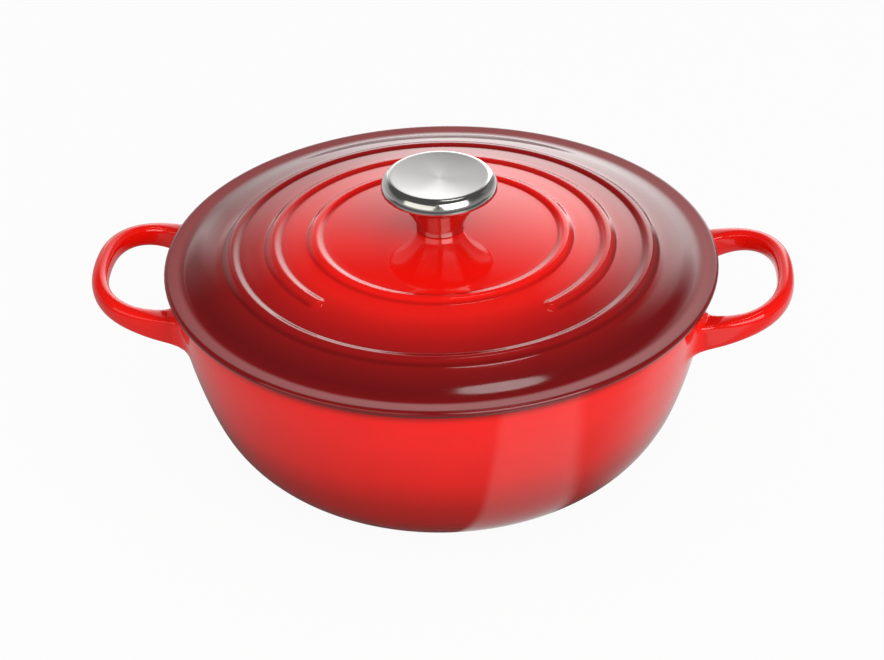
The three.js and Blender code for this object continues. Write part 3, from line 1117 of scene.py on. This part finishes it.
# %% Lid screw
screw_low, screw_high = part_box("lid_screw")
HEAD_R = screw_high.x
HEAD_H = 3.4 * MM
HEAD_ROUND = 2 * MM
SHANK_R = 3 * MM
RECESS_W = 1.2 * MM
RECESS_SPAN = 6 * MM
RECESS_DEPTH = 1.8 * MM
FASTENER_STEPS = 64
HEAD_STEPS = 8

head_top = screw_low.z + HEAD_H
head_middle = (HEAD_R - HEAD_ROUND, screw_low.z + HEAD_ROUND)
screw_outline = [(0, screw_low.z), *arc(head_middle, HEAD_ROUND, -90, 0, HEAD_STEPS)]
screw_outline += [(HEAD_R, head_top), (SHANK_R, head_top), (SHANK_R, screw_high.z), (0, screw_high.z)]
screw = turned("pan_screw", screw_outline, FASTENER_STEPS)
for size in ((RECESS_SPAN, RECESS_W), (RECESS_W, RECESS_SPAN)):
    bpy.ops.object.select_all(action="DESELECT")
    bpy.ops.mesh.primitive_cube_add(size=1, location=(0, 0, screw_low.z))
    bar = bpy.context.object
    bar.scale = (*size, 2 * RECESS_DEPTH)
    bpy.ops.object.transform_apply(location=True, rotation=True, scale=True)
    bpy.ops.object.select_all(action="DESELECT")
    apply_modifier(screw, "BOOLEAN", operation="DIFFERENCE", object=bar)
    bpy.data.objects.remove(bar)
screw.data.materials.append(plain_steel)
print("screw:", len(screw.data.polygons), "faces")

# %% Split washer
washer_low, washer_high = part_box("lock_washer")
WASHER_R = washer_high.x
WASHER_HOLE = 3.4 * MM
WASHER_SPLIT = 1.2 * MM
WASHER_EASE = 0.25 * MM

split_turn = math.degrees(WASHER_SPLIT / WASHER_R)
washer_outline = []
for r, z, start in ((WASHER_R, washer_high.z, 90), (WASHER_R, washer_low.z, 0),
                    (WASHER_HOLE, washer_low.z, -90), (WASHER_HOLE, washer_high.z, -180)):
    corner_r = r - WASHER_EASE if r == WASHER_R else r + WASHER_EASE
    corner_z = z - WASHER_EASE if z == washer_high.z else z + WASHER_EASE
    washer_outline += arc((corner_r, corner_z), WASHER_EASE, start, start - 90, EASE_STEPS)
washer_outline.append(washer_outline[0])
washer = draw_outline("split_washer", washer_outline)
bpy.ops.mesh.remove_doubles(threshold=WELD)
bpy.ops.mesh.edge_face_add()
bpy.ops.mesh.select_all(action="SELECT")
spin_on(360 - split_turn, FASTENER_STEPS)
weld_and_face_out()
bpy.ops.transform.rotate(value=-math.radians(90 + split_turn / 2), orient_axis="Z",
                         center_override=(0, 0, 0))
bpy.ops.object.mode_set(mode="OBJECT")
bpy.ops.object.shade_smooth_by_angle(angle=SMOOTH_ANGLE)
washer.data.materials.append(plain_steel)
print("washer:", len(washer.data.polygons), "faces")

# %% [markdown]
# ## Put the pieces on the frame
# Each modelled piece stands for one CAD node and moves with that node's body. The threaded bush is
# shut inside the stem, so its CAD solid stays and only gets a finish.

# %% Ride and replace
pieces = [
    (pot, "pot", "pot_body", "pot_enamel"),
    (lid, "lid", "lid", "lid_enamel"),
    (knob_cap, "lid", "knob_cap", "knob_steel"),
    (knob_stem, "lid", "knob_stem", "knob_steel"),
    (screw, "lid", "lid_screw", "fastener_steel"),
    (washer, "lid", "lock_washer", "fastener_steel"),
]
for piece, body, node, slot in pieces:
    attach(piece, body)
    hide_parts(node)
    print(piece.name, "stands for", node)
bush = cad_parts["knob_insert"]
bush.data.materials.clear()
bush.data.materials.append(plain_steel)
